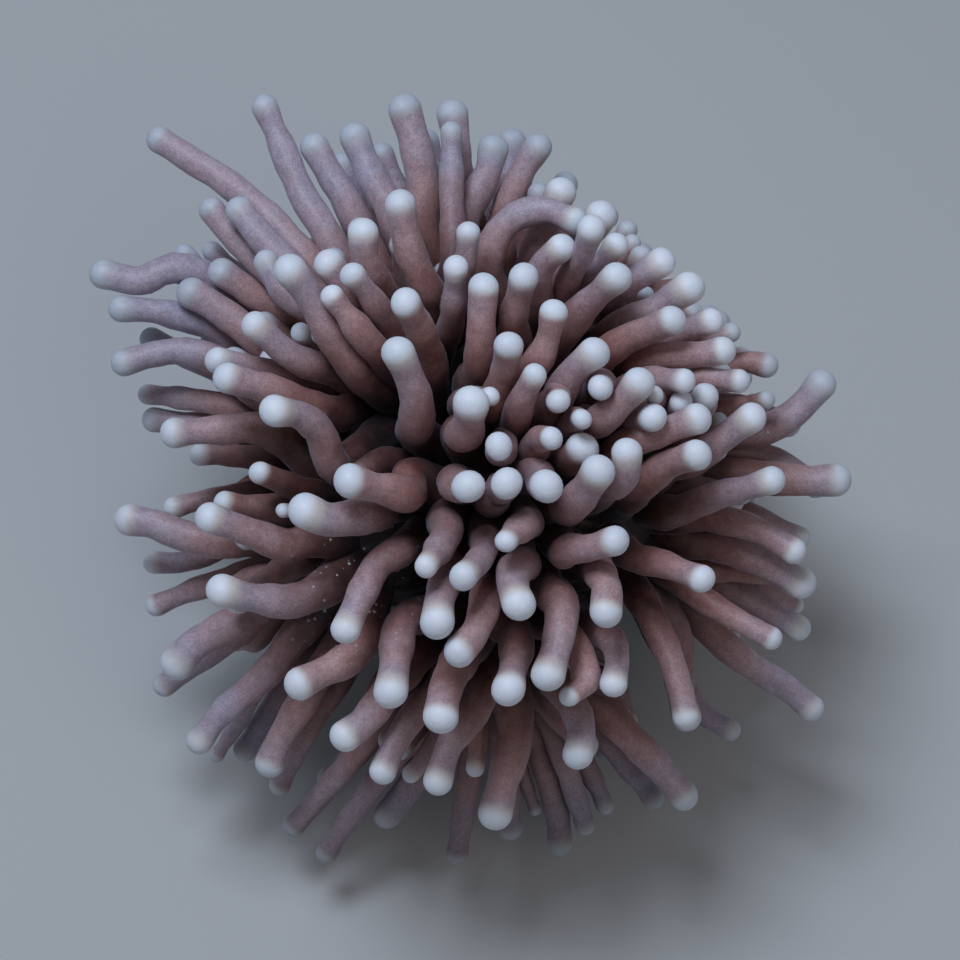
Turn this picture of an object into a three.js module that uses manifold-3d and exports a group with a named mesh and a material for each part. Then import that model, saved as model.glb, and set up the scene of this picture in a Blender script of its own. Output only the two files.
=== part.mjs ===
// A grape coral colony: nine soft polyps packed round the head of one stony trunk, each with its own crown
// of finger-like tentacles that end in a round pale knob. The trunk is cut off flat, and stands on the cut.
// Millimetres, +Z up, the origin at the middle of the cut face, -Y to the front.
import * as THREE from "three";
import { mergeVertices } from "three/addons/utils/BufferGeometryUtils.js";
import Module from "manifold-3d";

const wasm = await Module();
wasm.setup();

// The trunk.
const CROWN_HEIGHT = 64; // the middle of the ball of polyps, above the cut
const CUT_RADIUS = 22;
const NECK_RADIUS = 17;
const NECK_HEIGHT = 26;
const SEAT_RADIUS = 15; // the round head that the polyps grow on
const SEAT_RINGS = 3;
const TRUNK_SIDES = 24;
const RIB_DEPTH = 1.3; // every second corner of the trunk's outline is a rib

// The polyps.
const POLYP_DISTANCE = 24; // from the middle of the crown to the middle of a polyp
const POLYP_RADIUS = 15;
const CORE_RADIUS = 42; // inside this the polyps keep to their own sides of the valleys
const VALLEY = 0.45; // the gap between two polyps
const GAP = 1.5; // between the seat and the polyps

// The tentacles.
const SIDES = 5;
const SLIM_SIDES = 4;
const SLIM_BULB = 2.5; // a tentacle with a smaller knob than this has fewer sides
const ROOT_DISTANCE = 13; // how far from its polyp's middle a tentacle starts
const SAMPLES = 9; // points along each tentacle's middle line
const CLEARANCE = 0.9; // what neighbouring tentacles keep between them
const SETTLING_ROUNDS = 60;
const SETTLING_STEP = 0.4; // the share of what is missing between two tentacles that each gives in a round
const LONGEST_STEP = 1;
const FREE_FROM = 2; // the points nearer the root than this one stay where they are
const BULB_TO_SHAFT = 1.18;
const BULB_TO_NECK = 0.86;
const BULB_TO_ROOT = 0.85;
const LONG_SHAFT = 42; // a longer one swells in its middle

// The tentacles are placed as they are seen from in front and above, by an eye VIEW_DISTANCE from the
// middle of the crown. across and up are measured square to that line of sight, near is towards the eye.
const VIEW_ELEVATION = THREE.MathUtils.degToRad(60);
const VIEW_DISTANCE = 650;
const CENTRE = new THREE.Vector3(0, 0, CROWN_HEIGHT);
const ACROSS = new THREE.Vector3(1, 0, 0);
const UP = new THREE.Vector3(0, Math.sin(VIEW_ELEVATION), Math.cos(VIEW_ELEVATION));
const NEAR = new THREE.Vector3(0, -Math.cos(VIEW_ELEVATION), Math.sin(VIEW_ELEVATION));

// Each polyp's direction from the middle of the crown: degrees off the line of sight, and the angle round it.
const POLYPS = {
  polyp_centre: [0, 0],
  polyp_upper_left: [62, 129],
  polyp_upper_right: [62, 57],
  polyp_right: [62, -15],
  polyp_front: [62, -87],
  polyp_left: [62, -159],
  polyp_back_left: [103, 157],
  polyp_back: [118, 90],
  polyp_back_right: [103, 23],
};

// A row of tentacles holds, for each: the tip across and up, the knob's radius, then points that its shaft
// passes through, from the tip inwards, across and up.
// reach is how far out a layer's tips stand, and rim how near the eye its tips stand at the crown's edge.
// stout is how much thicker its shafts are than is usual for their knobs.
const LAYERS = [
  {
    reach: 70,
    rim: 8,
    stout: 1,
    tentacles: [
      [-40, 44, 3.5, -29, 31, -21, 20],
    ],
  },
  {
    reach: 67,
    rim: 4,
    stout: 1,
    tentacles: [
      // upper left
      [-66, 70, 2.8, -45, 55, -35, 48],
      [-45, 76.5, 2.7, -38, 61.5, -32, 49],
      [-35.5, 68, 3.1, -29, 57.5, -22.5, 48],
      [-27, 70.5, 3.1, -23, 59.5],
      [-55, 57, 2.8, -50, 48.5],
      [-77, 43, 3.2, -70.5, 41.5, -59.5, 44],
      [-54, 43, 3, -47, 38],
      [-73.5, 36.5, 2.9, -61.5, 36],
      [-60, 38, 3.2, -50, 33],
      [-73, 25.5, 2.9, -62, 28.5, -53.5, 29],
      [-47, 33, 2.9, -38, 25.5],
      [-32.5, 45, 3.1, -27, 37],
      [-27.5, 43, 2.7, -23.5, 38],
      [-25.5, 51.5, 3.1, -25, 45.5],
      [-54.5, 26, 2.7],
      [-52.5, 22.5, 3.1, -45, 20.5, -37, 18],
      // top
      [-17, 76, 3.4, -14.5, 67.5, -11.5, 55],
      [-7.5, 75, 3.2, -5.5, 65.5],
      [0, 68, 3.1, -3, 59.5, -6, 49],
      [9.5, 68.5, 3, 5, 61.5, 0, 53.5],
      [-18, 57, 3.3, -16.5, 49, -13, 39],
      [-4.5, 51.5, 2.4, -5, 46.5],
      [-7, 44.5, 2.7, -7.5, 36],
      [-1.5, 40.5, 3.2, -2, 29],
      [6.5, 42.5, 3.2, 4.5, 33],
      [-17, 37.5, 3.2, -13.5, 31, -11, 24],
      [-18.5, 27.5, 3.5, -16, 22, -12.5, 13],
      [12.5, 35.5, 2.9, 11, 29, 8, 22],
      [14, 48.5, 3, 10, 44.5],
      [14, 59.5, 3.2, 10, 50],
      [16.5, 54, 2.9, 11, 56, 4.5, 54.5, -0.5, 46.5],
      [22, 54.8, 3.3, 15, 44],
      [25, 42.5, 3.3, 18, 36, 12, 28],
      [25, 49, 2.6, 20, 42],
      [34, 45.5, 3.1, 29.5, 41.5],
      // right
      [3.5, 29, 3],
      [20.5, 27.5, 3.3, 16, 23.5],
      [39.5, 40.5, 3.4, 31.5, 36.5, 26, 33.5],
      [36, 34, 3.1, 28, 30.5, 22, 25.5],
      [44, 33.5, 2.6, 39, 31],
      [46, 28, 3, 39, 28, 31.5, 28],
      [49.5, 22, 2.5, 43.5, 22.5],
      [38.5, 22, 2.5, 33.5, 22.5],
      [29.5, 21.5, 3.3, 26, 17.5, 22, 14],
      [41, 14, 3.2, 35.5, 12, 28, 10],
      [52, 14.5, 3.2, 47, 11, 42, 7],
      [66, 21, 3.3, 62, 16.5, 55, 12],
      [69, 2, 3.3, 60, 2],
      [41, 7.5, 3.2, 35.5, 5.5, 29.5, 0.5],
      [27, 7.5, 3.1, 26.5, 2.5],
      [56, 2, 3, 49, 0, 40, -2],
      [21.5, 4, 3.5, 17.5, -2, 14, -6],
      [24.5, -10, 3.2, 19, -11],
      // centre
      [-4, 17.5, 3.7, -4.5, 11.5],
      [1.5, 9, 2.9],
      [-4, 1, 3.4],
      [2.5, 1.5, 3.3],
      [11, 1, 3.5],
      [-28, 2, 3.6, -20, 0, -12.5, -1.5],
      [-5.5, -17, 3, -1.5, -13, -0.5, -9],
      [5.5, -22.5, 3.5, 4, -17, 6.5, -11],
      [-10, -27, 3.7, -10, -21],
      [-7, -31, 3.3, -3, -27.5, -1, -22],
      [23, -24, 3.4, 23, -19],
      // left
      [-63, 11.5, 3.1, -55.5, 12, -45, 12],
      [-43, 16, 3.4, -37, 14.5, -33, 10, -32, 4.5],
      [-56, -5.5, 3.2, -49, -8, -41, -11, -33, -11],
      [-37, -4, 3.7, -31, -6, -25, -4.5],
      [-72, -6, 3.2, -66.5, -7, -58, -10],
      [-53.5, -20, 3.5, -47, -21.5, -39, -22, -33, -18],
      [-29, -27.5, 3.1, -26, -21, -22, -14, -16, -11],
      [-62.5, -34.5, 3.5, -58, -30, -51.5, -27],
      [-38, -38.5, 3.4, -33, -36, -27, -32.5],
      // front
      [-44, -54.5, 3, -41.5, -48.5, -37.5, -42.5],
      [-58, -50, 2.9, -53.5, -44.5, -45.5, -37.5],
      [-29, -49, 3.2, -24, -45, -21, -40.5],
      [-20, -40, 3.6, -19, -33.5, -18, -27],
      [-21.5, -56, 2.8, -19, -50.5, -15.5, -45],
      [-10.5, -58, 3, -8, -50.5, -2.5, -43],
      [-10, -45, 3.6, -9, -39.5],
      [3.5, -39.5, 3.6, 5, -33, 5, -28],
      [11.5, -36.5, 3.6, 13.5, -29.5, 14, -23],
      [24.5, -38.5, 2.8, 25, -31.5],
      [17.5, -52.5, 3.3, 18, -46.5],
      [1, -64.5, 3.5, 3, -56.5, 5, -49],
      [38.5, -61, 3.2, 33, -54.5, 27, -48.5],
      // lower right
      [60.5, -12, 2.7, 54.5, -8.5, 47, -6],
      [62, -18.5, 3.2, 54.5, -14.5, 45, -10.5],
      [42, -17.5, 2.9, 35.5, -15, 28, -13],
      [61.5, -27.5, 2.7, 56.5, -24.5, 49, -20],
      [56, -29.5, 2.4, 50.5, -26.5, 43, -22],
      [64, -43.5, 2.8, 58.5, -39, 50.5, -34],
      [39, -45, 2.7, 37.5, -38, 33.5, -28],
    ],
  },
  {
    reach: 66,
    rim: 4,
    stout: 1.35,
    tentacles: [
      [-13, -15, 2.4, -9.5, -10, -7, -5],
      [3, -10, 2.3, 7, -5.5],
      [15.8, -41, 2.2, 19, -38, 17, -30],
    ],
  },
  {
    reach: 62,
    rim: -2,
    stout: 1,
    tentacles: [
      [18.5, 9, 3.4, 15, 5],
    ],
  },
  {
    reach: 64,
    rim: -12,
    stout: 1,
    tentacles: [
      [-29.5, 65, 2.5],
      [-67.5, 30, 2.6],
      [-12.5, 69.5, 2.6],
      [4.5, 69.5, 2.8],
      [-21.5, 67, 2.6],
      [55, 25, 2.7, 50.5, 25.5],
      [-67, 14, 2.6],
      [-63, -3.5, 2.4, -57.5, -2, -50, -1],
      [-67, -14.5, 2.4, -59.5, -14],
      [-66.5, -23, 2.4, -60.5, -20.5],
      [-65, -39, 2.4],
      [-49, -52, 2.4],
      [14, -70.5, 2.7, 13.5, -65],
      [48, -48, 2.2, 43, -45],
      [32.5, -61.5, 2.4],
      [-32.5, -72.5, 2.4],
      [-39, -67, 2.4],
      [-6.5, -72.5, 2.4],
    ],
  },
];

// The far side, which that eye doesn't see, takes tips from an even spiral over the whole ball, wherever
// there is room for one. Each is short enough to stay hidden behind the others.
const SPIRAL_TIPS = 400;
const GOLDEN_ANGLE = Math.PI * (3 - Math.sqrt(5));
const FAR_SIDE = 0.2; // the spiral is used where its direction's part towards the eye is less than this
const LOWEST_TIP = -0.62; // and its upward part more than this
const TIP_SPACING = 18.5;
const FAR_REACH = 66;
const FAR_RAGGED = 12; // the difference between the longest and the shortest reach
const SHORTENING = [0, 3, 6, 9, 12, 15, 18, 21, 24]; // tried one after the other until the knob is hidden
const HIDDEN_RIM = 0.7; // how much of a knob's radius has to be hidden
const COVER_DOTS = 24; // along each tentacle that may hide others
const FAR_BULB = 3;
const FAR_BEND = 12;
const FAR_SAG = 3; // how far a shaft's middle stands above the straight line, so that its tip droops

// A number from 0 to 1 that looks random and is the same every time.
function scatter(seed) {
  const wave = Math.sin(seed * 12.9898) * 43758.5453;
  return wave - Math.floor(wave);
}

// A place seen at (across, up) from the eye, at the depth near.
function seenAt(across, up, near) {
  const shrink = (VIEW_DISTANCE - near) / VIEW_DISTANCE;
  return CENTRE.clone()
    .addScaledVector(ACROSS, across * shrink)
    .addScaledVector(UP, up * shrink)
    .addScaledVector(NEAR, near);
}

// The reverse of seenAt.
function asSeen(place) {
  const out = place.clone().sub(CENTRE);
  const near = out.dot(NEAR);
  const grow = VIEW_DISTANCE / (VIEW_DISTANCE - near);
  return { across: out.dot(ACROSS) * grow, up: out.dot(UP) * grow, near };
}

function polypDirection([off, round]) {
  const tilt = THREE.MathUtils.degToRad(off);
  const turn = THREE.MathUtils.degToRad(round);
  return new THREE.Vector3()
    .addScaledVector(NEAR, Math.cos(tilt))
    .addScaledVector(ACROSS, Math.sin(tilt) * Math.cos(turn))
    .addScaledVector(UP, Math.sin(tilt) * Math.sin(turn));
}

const polyps = Object.entries(POLYPS).map(([name, place]) => {
  const direction = polypDirection(place);
  const middle = CENTRE.clone().addScaledVector(direction, POLYP_DISTANCE);
  return { name, direction, middle };
});

function nearestPolyp(point) {
  const direction = point.clone().sub(CENTRE).normalize();
  return polyps.reduce((best, polyp) =>
    direction.dot(polyp.direction) > direction.dot(best.direction) ? polyp : best,
  );
}

// A tentacle through its tip and the points that its shaft passes, given from the tip inwards.
function tentacle(tip, bulb, passes, stout = 1) {
  const polyp = nearestPolyp(tip);
  const aim = (passes.at(-1) ?? tip).clone().sub(polyp.middle).normalize();
  const root = polyp.middle.clone().addScaledVector(aim, ROOT_DISTANCE);
  const curve = new THREE.CatmullRomCurve3([root, ...passes.toReversed(), tip], false, "centripetal");
  return { polyp, bulb, stout, points: curve.getSpacedPoints(SAMPLES - 1) };
}

function seenTentacle({ reach, rim, stout }, [across, up, bulb, ...shaft]) {
  const near = rim + Math.sqrt(Math.max(0, reach ** 2 - across ** 2 - up ** 2));
  const tip = seenAt(across, up, near);
  const root = nearestPolyp(tip).middle.clone().sub(CENTRE);
  const rootSpot = [root.dot(ACROSS), root.dot(UP)];
  const rootNear = root.dot(NEAR);
  const passes = [];
  for (let i = 0; i < shaft.length; i += 2) {
    const [x, y] = shaft.slice(i, i + 2);
    const fromRoot = Math.hypot(x - rootSpot[0], y - rootSpot[1]);
    const fromTip = Math.hypot(x - across, y - up);
    const share = fromRoot / (fromRoot + fromTip);
    passes.push(seenAt(x, y, rootNear + (near - rootNear) * Math.sqrt(share)));
  }
  return tentacle(tip, (bulb * (VIEW_DISTANCE - near)) / VIEW_DISTANCE, passes, stout);
}

// Whether the eye sees nothing of a knob there: dots of the tentacles before it cover its middle and its rim.
function isHidden(place, bulb, cover) {
  const { across, up, near } = asSeen(place);
  const rim = bulb * HIDDEN_RIM;
  const spots = [[0, 0], [rim, 0], [-rim, 0], [0, rim], [0, -rim]];
  const inFront = cover.filter((dot) => dot.near > near);
  return spots.every(([x, y]) =>
    inFront.some((dot) => Math.hypot(dot.across - across - x, dot.up - up - y) < dot.radius),
  );
}

function farTentacles(neighbours) {
  const cover = neighbours.flatMap((t) => {
    const points = new THREE.CatmullRomCurve3(t.points).getSpacedPoints(COVER_DOTS);
    return points.map((point) => ({ ...asSeen(point), radius: t.bulb }));
  });
  const tips = neighbours.map((t) => t.points.at(-1));
  const made = [];
  for (let i = 0; i < SPIRAL_TIPS; i++) {
    const z = 1 - (2 * i + 1) / SPIRAL_TIPS;
    const round = Math.sqrt(1 - z * z);
    const direction = new THREE.Vector3(
      round * Math.cos(i * GOLDEN_ANGLE),
      round * Math.sin(i * GOLDEN_ANGLE),
      z,
    );
    const reach = FAR_REACH + FAR_RAGGED * (scatter(i) - 0.5);
    const bulb = FAR_BULB * (0.85 + 0.3 * scatter(i + 0.8));
    const place = CENTRE.clone().addScaledVector(direction, reach);
    if (direction.dot(NEAR) > FAR_SIDE || z < LOWEST_TIP) continue;
    if (tips.some((tip) => tip.distanceTo(place) < TIP_SPACING)) continue;
    const shorter = SHORTENING.map((cut) => place.clone().addScaledVector(direction, -cut));
    const tip = shorter.find((end) => isHidden(end, bulb, cover));
    if (!tip) continue;
    tips.push(place);
    const bend = new THREE.Vector3(scatter(i + 0.2) - 0.5, scatter(i + 0.4) - 0.5, scatter(i + 0.6) - 0.5);
    const middle = nearestPolyp(tip).middle.clone().lerp(tip, 0.6).addScaledVector(bend, FAR_BEND);
    middle.z += FAR_SAG;
    made.push(tentacle(tip, bulb, [middle]));
  }
  return made;
}

// The shaft swells a little above the root, narrows to a neck and ends in the round knob.
function girth({ bulb, stout }, share) {
  if (share > 0.9) return bulb;
  const neck = bulb * stout * BULB_TO_NECK;
  const shaft = bulb * stout * BULB_TO_SHAFT;
  return share < 0.5 ? shaft : shaft + ((neck - shaft) * (share - 0.5)) / 0.4;
}

// Tentacles that would pass through each other lean apart until they clear.
function settle(tentacles) {
  const dots = tentacles.flatMap((t, owner) =>
    t.points.map((point, i) => ({ owner, point, i, radius: girth(t, i / (SAMPLES - 1)) })),
  );
  const away = new THREE.Vector3();
  for (let round = 0; round < SETTLING_ROUNDS; round++) {
    for (const dot of dots) dot.push = new THREE.Vector3();
    for (let a = 0; a < dots.length; a++) {
      const one = dots[a];
      if (one.i < FREE_FROM) continue;
      for (let b = a + 1; b < dots.length; b++) {
        const other = dots[b];
        if (other.owner === one.owner || other.i < FREE_FROM) continue;
        away.subVectors(one.point, other.point);
        const need = one.radius + other.radius + CLEARANCE;
        const distance = away.length();
        if (distance >= need || distance === 0) continue;
        away.multiplyScalar((SETTLING_STEP * (need - distance)) / distance);
        one.push.add(away);
        other.push.sub(away);
      }
    }
    for (const t of tentacles.keys()) {
      const own = dots.slice(t * SAMPLES, (t + 1) * SAMPLES);
      own.forEach((dot, i) => {
        const before = own[i - 1]?.push ?? dot.push;
        const after = own[i + 1]?.push ?? dot.push;
        const freedom = Math.min(1, i / (FREE_FROM + 1));
        dot.moved = before.clone().add(dot.push).add(dot.push).add(after).divideScalar(4);
        dot.moved.multiplyScalar(freedom).clampLength(0, LONGEST_STEP);
      });
      own.forEach((dot) => dot.point.add(dot.moved));
    }
  }
}

function solid(geometry) {
  geometry.deleteAttribute("normal");
  geometry.deleteAttribute("uv");
  const merged = mergeVertices(geometry, 1e-4);
  const corners = merged.index.array;
  const triVerts = [];
  for (let i = 0; i < corners.length; i += 3) {
    const [a, b, c] = corners.slice(i, i + 3);
    if (a !== b && b !== c && c !== a) triVerts.push(a, b, c);
  }
  return new wasm.Manifold(
    new wasm.Mesh({
      numProp: 3,
      vertProperties: merged.attributes.position.array,
      triVerts: new Uint32Array(triVerts),
    }),
  );
}

function geometryOf(made) {
  const { numProp, numVert, vertProperties, triVerts } = made.getMesh();
  const position = new Float32Array(numVert * 3);
  for (let i = 0; i < numVert; i++) {
    position.set(vertProperties.subarray(i * numProp, i * numProp + 3), i * 3);
  }
  const geometry = new THREE.BufferGeometry();
  geometry.setAttribute("position", new THREE.BufferAttribute(position, 3));
  geometry.setIndex(new THREE.BufferAttribute(triVerts, 1));
  geometry.computeVertexNormals();
  return geometry;
}

// Leaves off the slivers and the tiny closed pockets that crossing tentacles can leave.
function largestPiece(made) {
  const pieces = solid(geometryOf(made)).decompose();
  return pieces.reduce((best, piece) => (piece.volume() > best.volume() ? piece : best));
}

// One tentacle: turned on a lathe along Y, then bent along its middle line.
function tentacleSolid({ bulb, stout, points }) {
  const curve = new THREE.CatmullRomCurve3(points);
  const length = curve.getLength();
  const profile = [
    [0, 0],
    [bulb * stout * BULB_TO_ROOT, 0],
    ...(length > LONG_SHAFT ? [[bulb * stout * BULB_TO_SHAFT, length * 0.45]] : []),
    [bulb * stout * BULB_TO_NECK, length - 1.9 * bulb],
    [bulb * 1.04, length - 0.1 * bulb],
    [bulb * 0.72, length + 0.75 * bulb],
    [0, length + bulb],
  ];
  const sides = bulb < SLIM_BULB ? SLIM_SIDES : SIDES;
  const lathe = new THREE.LatheGeometry(profile.map(([r, y]) => new THREE.Vector2(r, y)), sides);
  const position = lathe.getAttribute("position");
  const side = new THREE.Vector3(0.31, 0.42, 0.85).cross(curve.getTangentAt(0.5)).normalize();
  for (let i = 0; i < position.count; i++) {
    const along = position.getY(i);
    const share = Math.min(1, along / length);
    const forward = curve.getTangentAt(share);
    const right = side.clone().addScaledVector(forward, -side.dot(forward)).normalize();
    const over = right.clone().cross(forward);
    const spot = curve
      .getPointAt(share)
      .addScaledVector(right, position.getX(i))
      .addScaledVector(over, position.getZ(i))
      .addScaledVector(forward, Math.max(0, along - length));
    position.setXYZ(i, spot.x, spot.y, spot.z);
  }
  return solid(lathe);
}

// What lies inside the core on the far side of this polyp's valleys, for cutting off.
function beyondValleys(polyp) {
  const core = solid(new THREE.IcosahedronGeometry(CORE_RADIUS, 1)).translate(CENTRE.toArray());
  let own = core;
  for (const other of polyps) {
    if (other === polyp) continue;
    const inward = polyp.direction.clone().sub(other.direction).normalize();
    own = own.trimByPlane(inward.toArray(), inward.dot(CENTRE) + VALLEY / 2);
  }
  return core.subtract(own);
}

const flesh = new THREE.MeshStandardMaterial({ color: 0x7d666a, roughness: 0.5, metalness: 0 });
const skeleton = new THREE.MeshStandardMaterial({ color: 0xb8ab98, roughness: 0.85, metalness: 0 });

function polypMesh(polyp, tentacles) {
  const body = solid(new THREE.IcosahedronGeometry(POLYP_RADIUS, 1)).translate(polyp.middle.toArray());
  const seat = solid(new THREE.IcosahedronGeometry(SEAT_RADIUS + GAP, 1)).translate(CENTRE.toArray());
  const crown = tentacles.filter((t) => t.polyp === polyp).map(tentacleSolid);
  const joined = wasm.Manifold.union([body, ...crown]).subtract(beyondValleys(polyp)).subtract(seat);
  const mesh = new THREE.Mesh(geometryOf(largestPiece(joined)), flesh);
  mesh.name = polyp.name;
  return mesh;
}

// The trunk: a ribbed column that flares to the cut, with the round seat on top.
function trunkMesh() {
  const seatLow = CROWN_HEIGHT - SEAT_RADIUS * Math.cos(Math.PI / 4);
  const profile = [
    [0, 0],
    [CUT_RADIUS, 0],
    [CUT_RADIUS * 0.9, 8],
    [NECK_RADIUS, NECK_HEIGHT],
    [NECK_RADIUS * 0.95, seatLow - 8],
    [SEAT_RADIUS * Math.sin(Math.PI / 4), seatLow],
  ];
  for (let i = 1; i <= SEAT_RINGS; i++) {
    const angle = Math.PI * (0.25 + (0.75 * i) / SEAT_RINGS);
    const radius = i < SEAT_RINGS ? SEAT_RADIUS * Math.sin(angle) : 0;
    profile.push([radius, CROWN_HEIGHT - SEAT_RADIUS * Math.cos(angle)]);
  }
  const lathe = new THREE.LatheGeometry(profile.map(([r, y]) => new THREE.Vector2(r, y)), TRUNK_SIDES);
  const position = lathe.getAttribute("position");
  for (let i = 0; i < position.count; i++) {
    const [x, y, z] = [position.getX(i), position.getY(i), position.getZ(i)];
    const radius = Math.hypot(x, z);
    const corner = Math.round((Math.atan2(x, z) / (2 * Math.PI)) * TRUNK_SIDES);
    const groove = corner % 2 && y < seatLow && radius > 1 ? RIB_DEPTH : 0;
    const keep = radius > 0 ? (radius - groove) / radius : 1;
    position.setXYZ(i, x * keep, -z * keep, y);
  }
  const mesh = new THREE.Mesh(geometryOf(solid(lathe)), skeleton);
  mesh.name = "stony_trunk";
  return mesh;
}

const seen = LAYERS.flatMap((layer) => layer.tentacles.map((row) => seenTentacle(layer, row)));
const tentacles = [...seen, ...farTentacles(seen)];
settle(tentacles);

const coral = new THREE.Group();
coral.add(trunkMesh());
for (const polyp of polyps) coral.add(polypMesh(polyp, tentacles));

export default coral;
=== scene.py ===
"""A grape coral colony: nine soft polyps packed round the head of one stony trunk.

Each polyp is one piece, its fleshy body with a crown of finger-like tentacles that end in round pale knobs.
The trunk is a ribbed limestone column, cut off flat where it grew. The shapes are worked out in millimetres
and put into the meshes in metres, with +Z up and the origin in the middle of the cut.
"""
import math

import bmesh
import bpy
import numpy as np
from mathutils import Matrix, Vector, noise


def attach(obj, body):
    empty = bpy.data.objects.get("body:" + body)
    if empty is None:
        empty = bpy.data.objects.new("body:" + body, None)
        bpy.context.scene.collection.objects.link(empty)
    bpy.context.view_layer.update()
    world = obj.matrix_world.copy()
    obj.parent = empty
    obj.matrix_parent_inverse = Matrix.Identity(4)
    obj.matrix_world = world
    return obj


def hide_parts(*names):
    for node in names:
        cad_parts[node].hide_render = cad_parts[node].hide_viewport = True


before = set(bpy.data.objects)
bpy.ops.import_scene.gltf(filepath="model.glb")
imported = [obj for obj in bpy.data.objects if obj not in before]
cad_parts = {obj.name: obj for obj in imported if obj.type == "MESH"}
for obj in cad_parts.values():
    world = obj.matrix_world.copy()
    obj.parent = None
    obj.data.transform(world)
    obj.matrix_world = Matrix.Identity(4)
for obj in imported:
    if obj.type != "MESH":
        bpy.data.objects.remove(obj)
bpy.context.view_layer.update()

MM = 0.001

# The colony, in millimetres.
CROWN_HEIGHT = 64.0
CUT_RADIUS = 22.0
NECK_RADIUS = 17.0
NECK_HEIGHT = 26.0
SEAT_RADIUS = 15.0
RIBS = 12
RIB_DEPTH = 1.3
POLYP_DISTANCE = 24.0
POLYP_RADIUS = 15.0
VALLEY = 0.45
GAP = 1.5

# A tentacle's middle line and girth.
ROOT_DISTANCE = 13.0
SAMPLES = 9
STEPS_BETWEEN = 25  # places on a smooth line from each knot to the next
CLEARANCE = 0.9
SETTLING_ROUNDS = 60
SETTLING_STEP = 0.4
LONGEST_STEP = 1.0
FREE_FROM = 2
RELAXING_ROUNDS = 4
BULB_TO_SHAFT = 1.18
BULB_TO_NECK = 0.86
NARROWS_FROM = 0.5  # the shaft narrows to the neck between these two shares of its length
NARROWS_TO = 0.9

# The eye that the tentacles were placed for: it looks at the middle of the crown from in front and above.
VIEW_ELEVATION = math.radians(60)
VIEW_DISTANCE = 650.0
CENTRE = np.array((0.0, 0.0, CROWN_HEIGHT))
ACROSS = np.array((1.0, 0.0, 0.0))
UP = np.array((0.0, math.sin(VIEW_ELEVATION), math.cos(VIEW_ELEVATION)))
NEAR = np.array((0.0, -math.cos(VIEW_ELEVATION), math.sin(VIEW_ELEVATION)))

# The picture that eye makes: its width at the middle of the crown, and where the middle falls in it.
PICTURE_WIDTH = 192.0
PICTURE_SHIFT = (-2.0, 2.0)
SENSOR_WIDTH = 36.0

# Each polyp's direction from the middle of the crown: degrees off the line of sight, and the angle round it.
POLYPS = {
    "polyp_centre": (0, 0),
    "polyp_upper_left": (62, 129),
    "polyp_upper_right": (62, 57),
    "polyp_right": (62, -15),
    "polyp_front": (62, -87),
    "polyp_left": (62, -159),
    "polyp_back_left": (103, 157),
    "polyp_back": (118, 90),
    "polyp_back_right": (103, 23),
}

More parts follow.
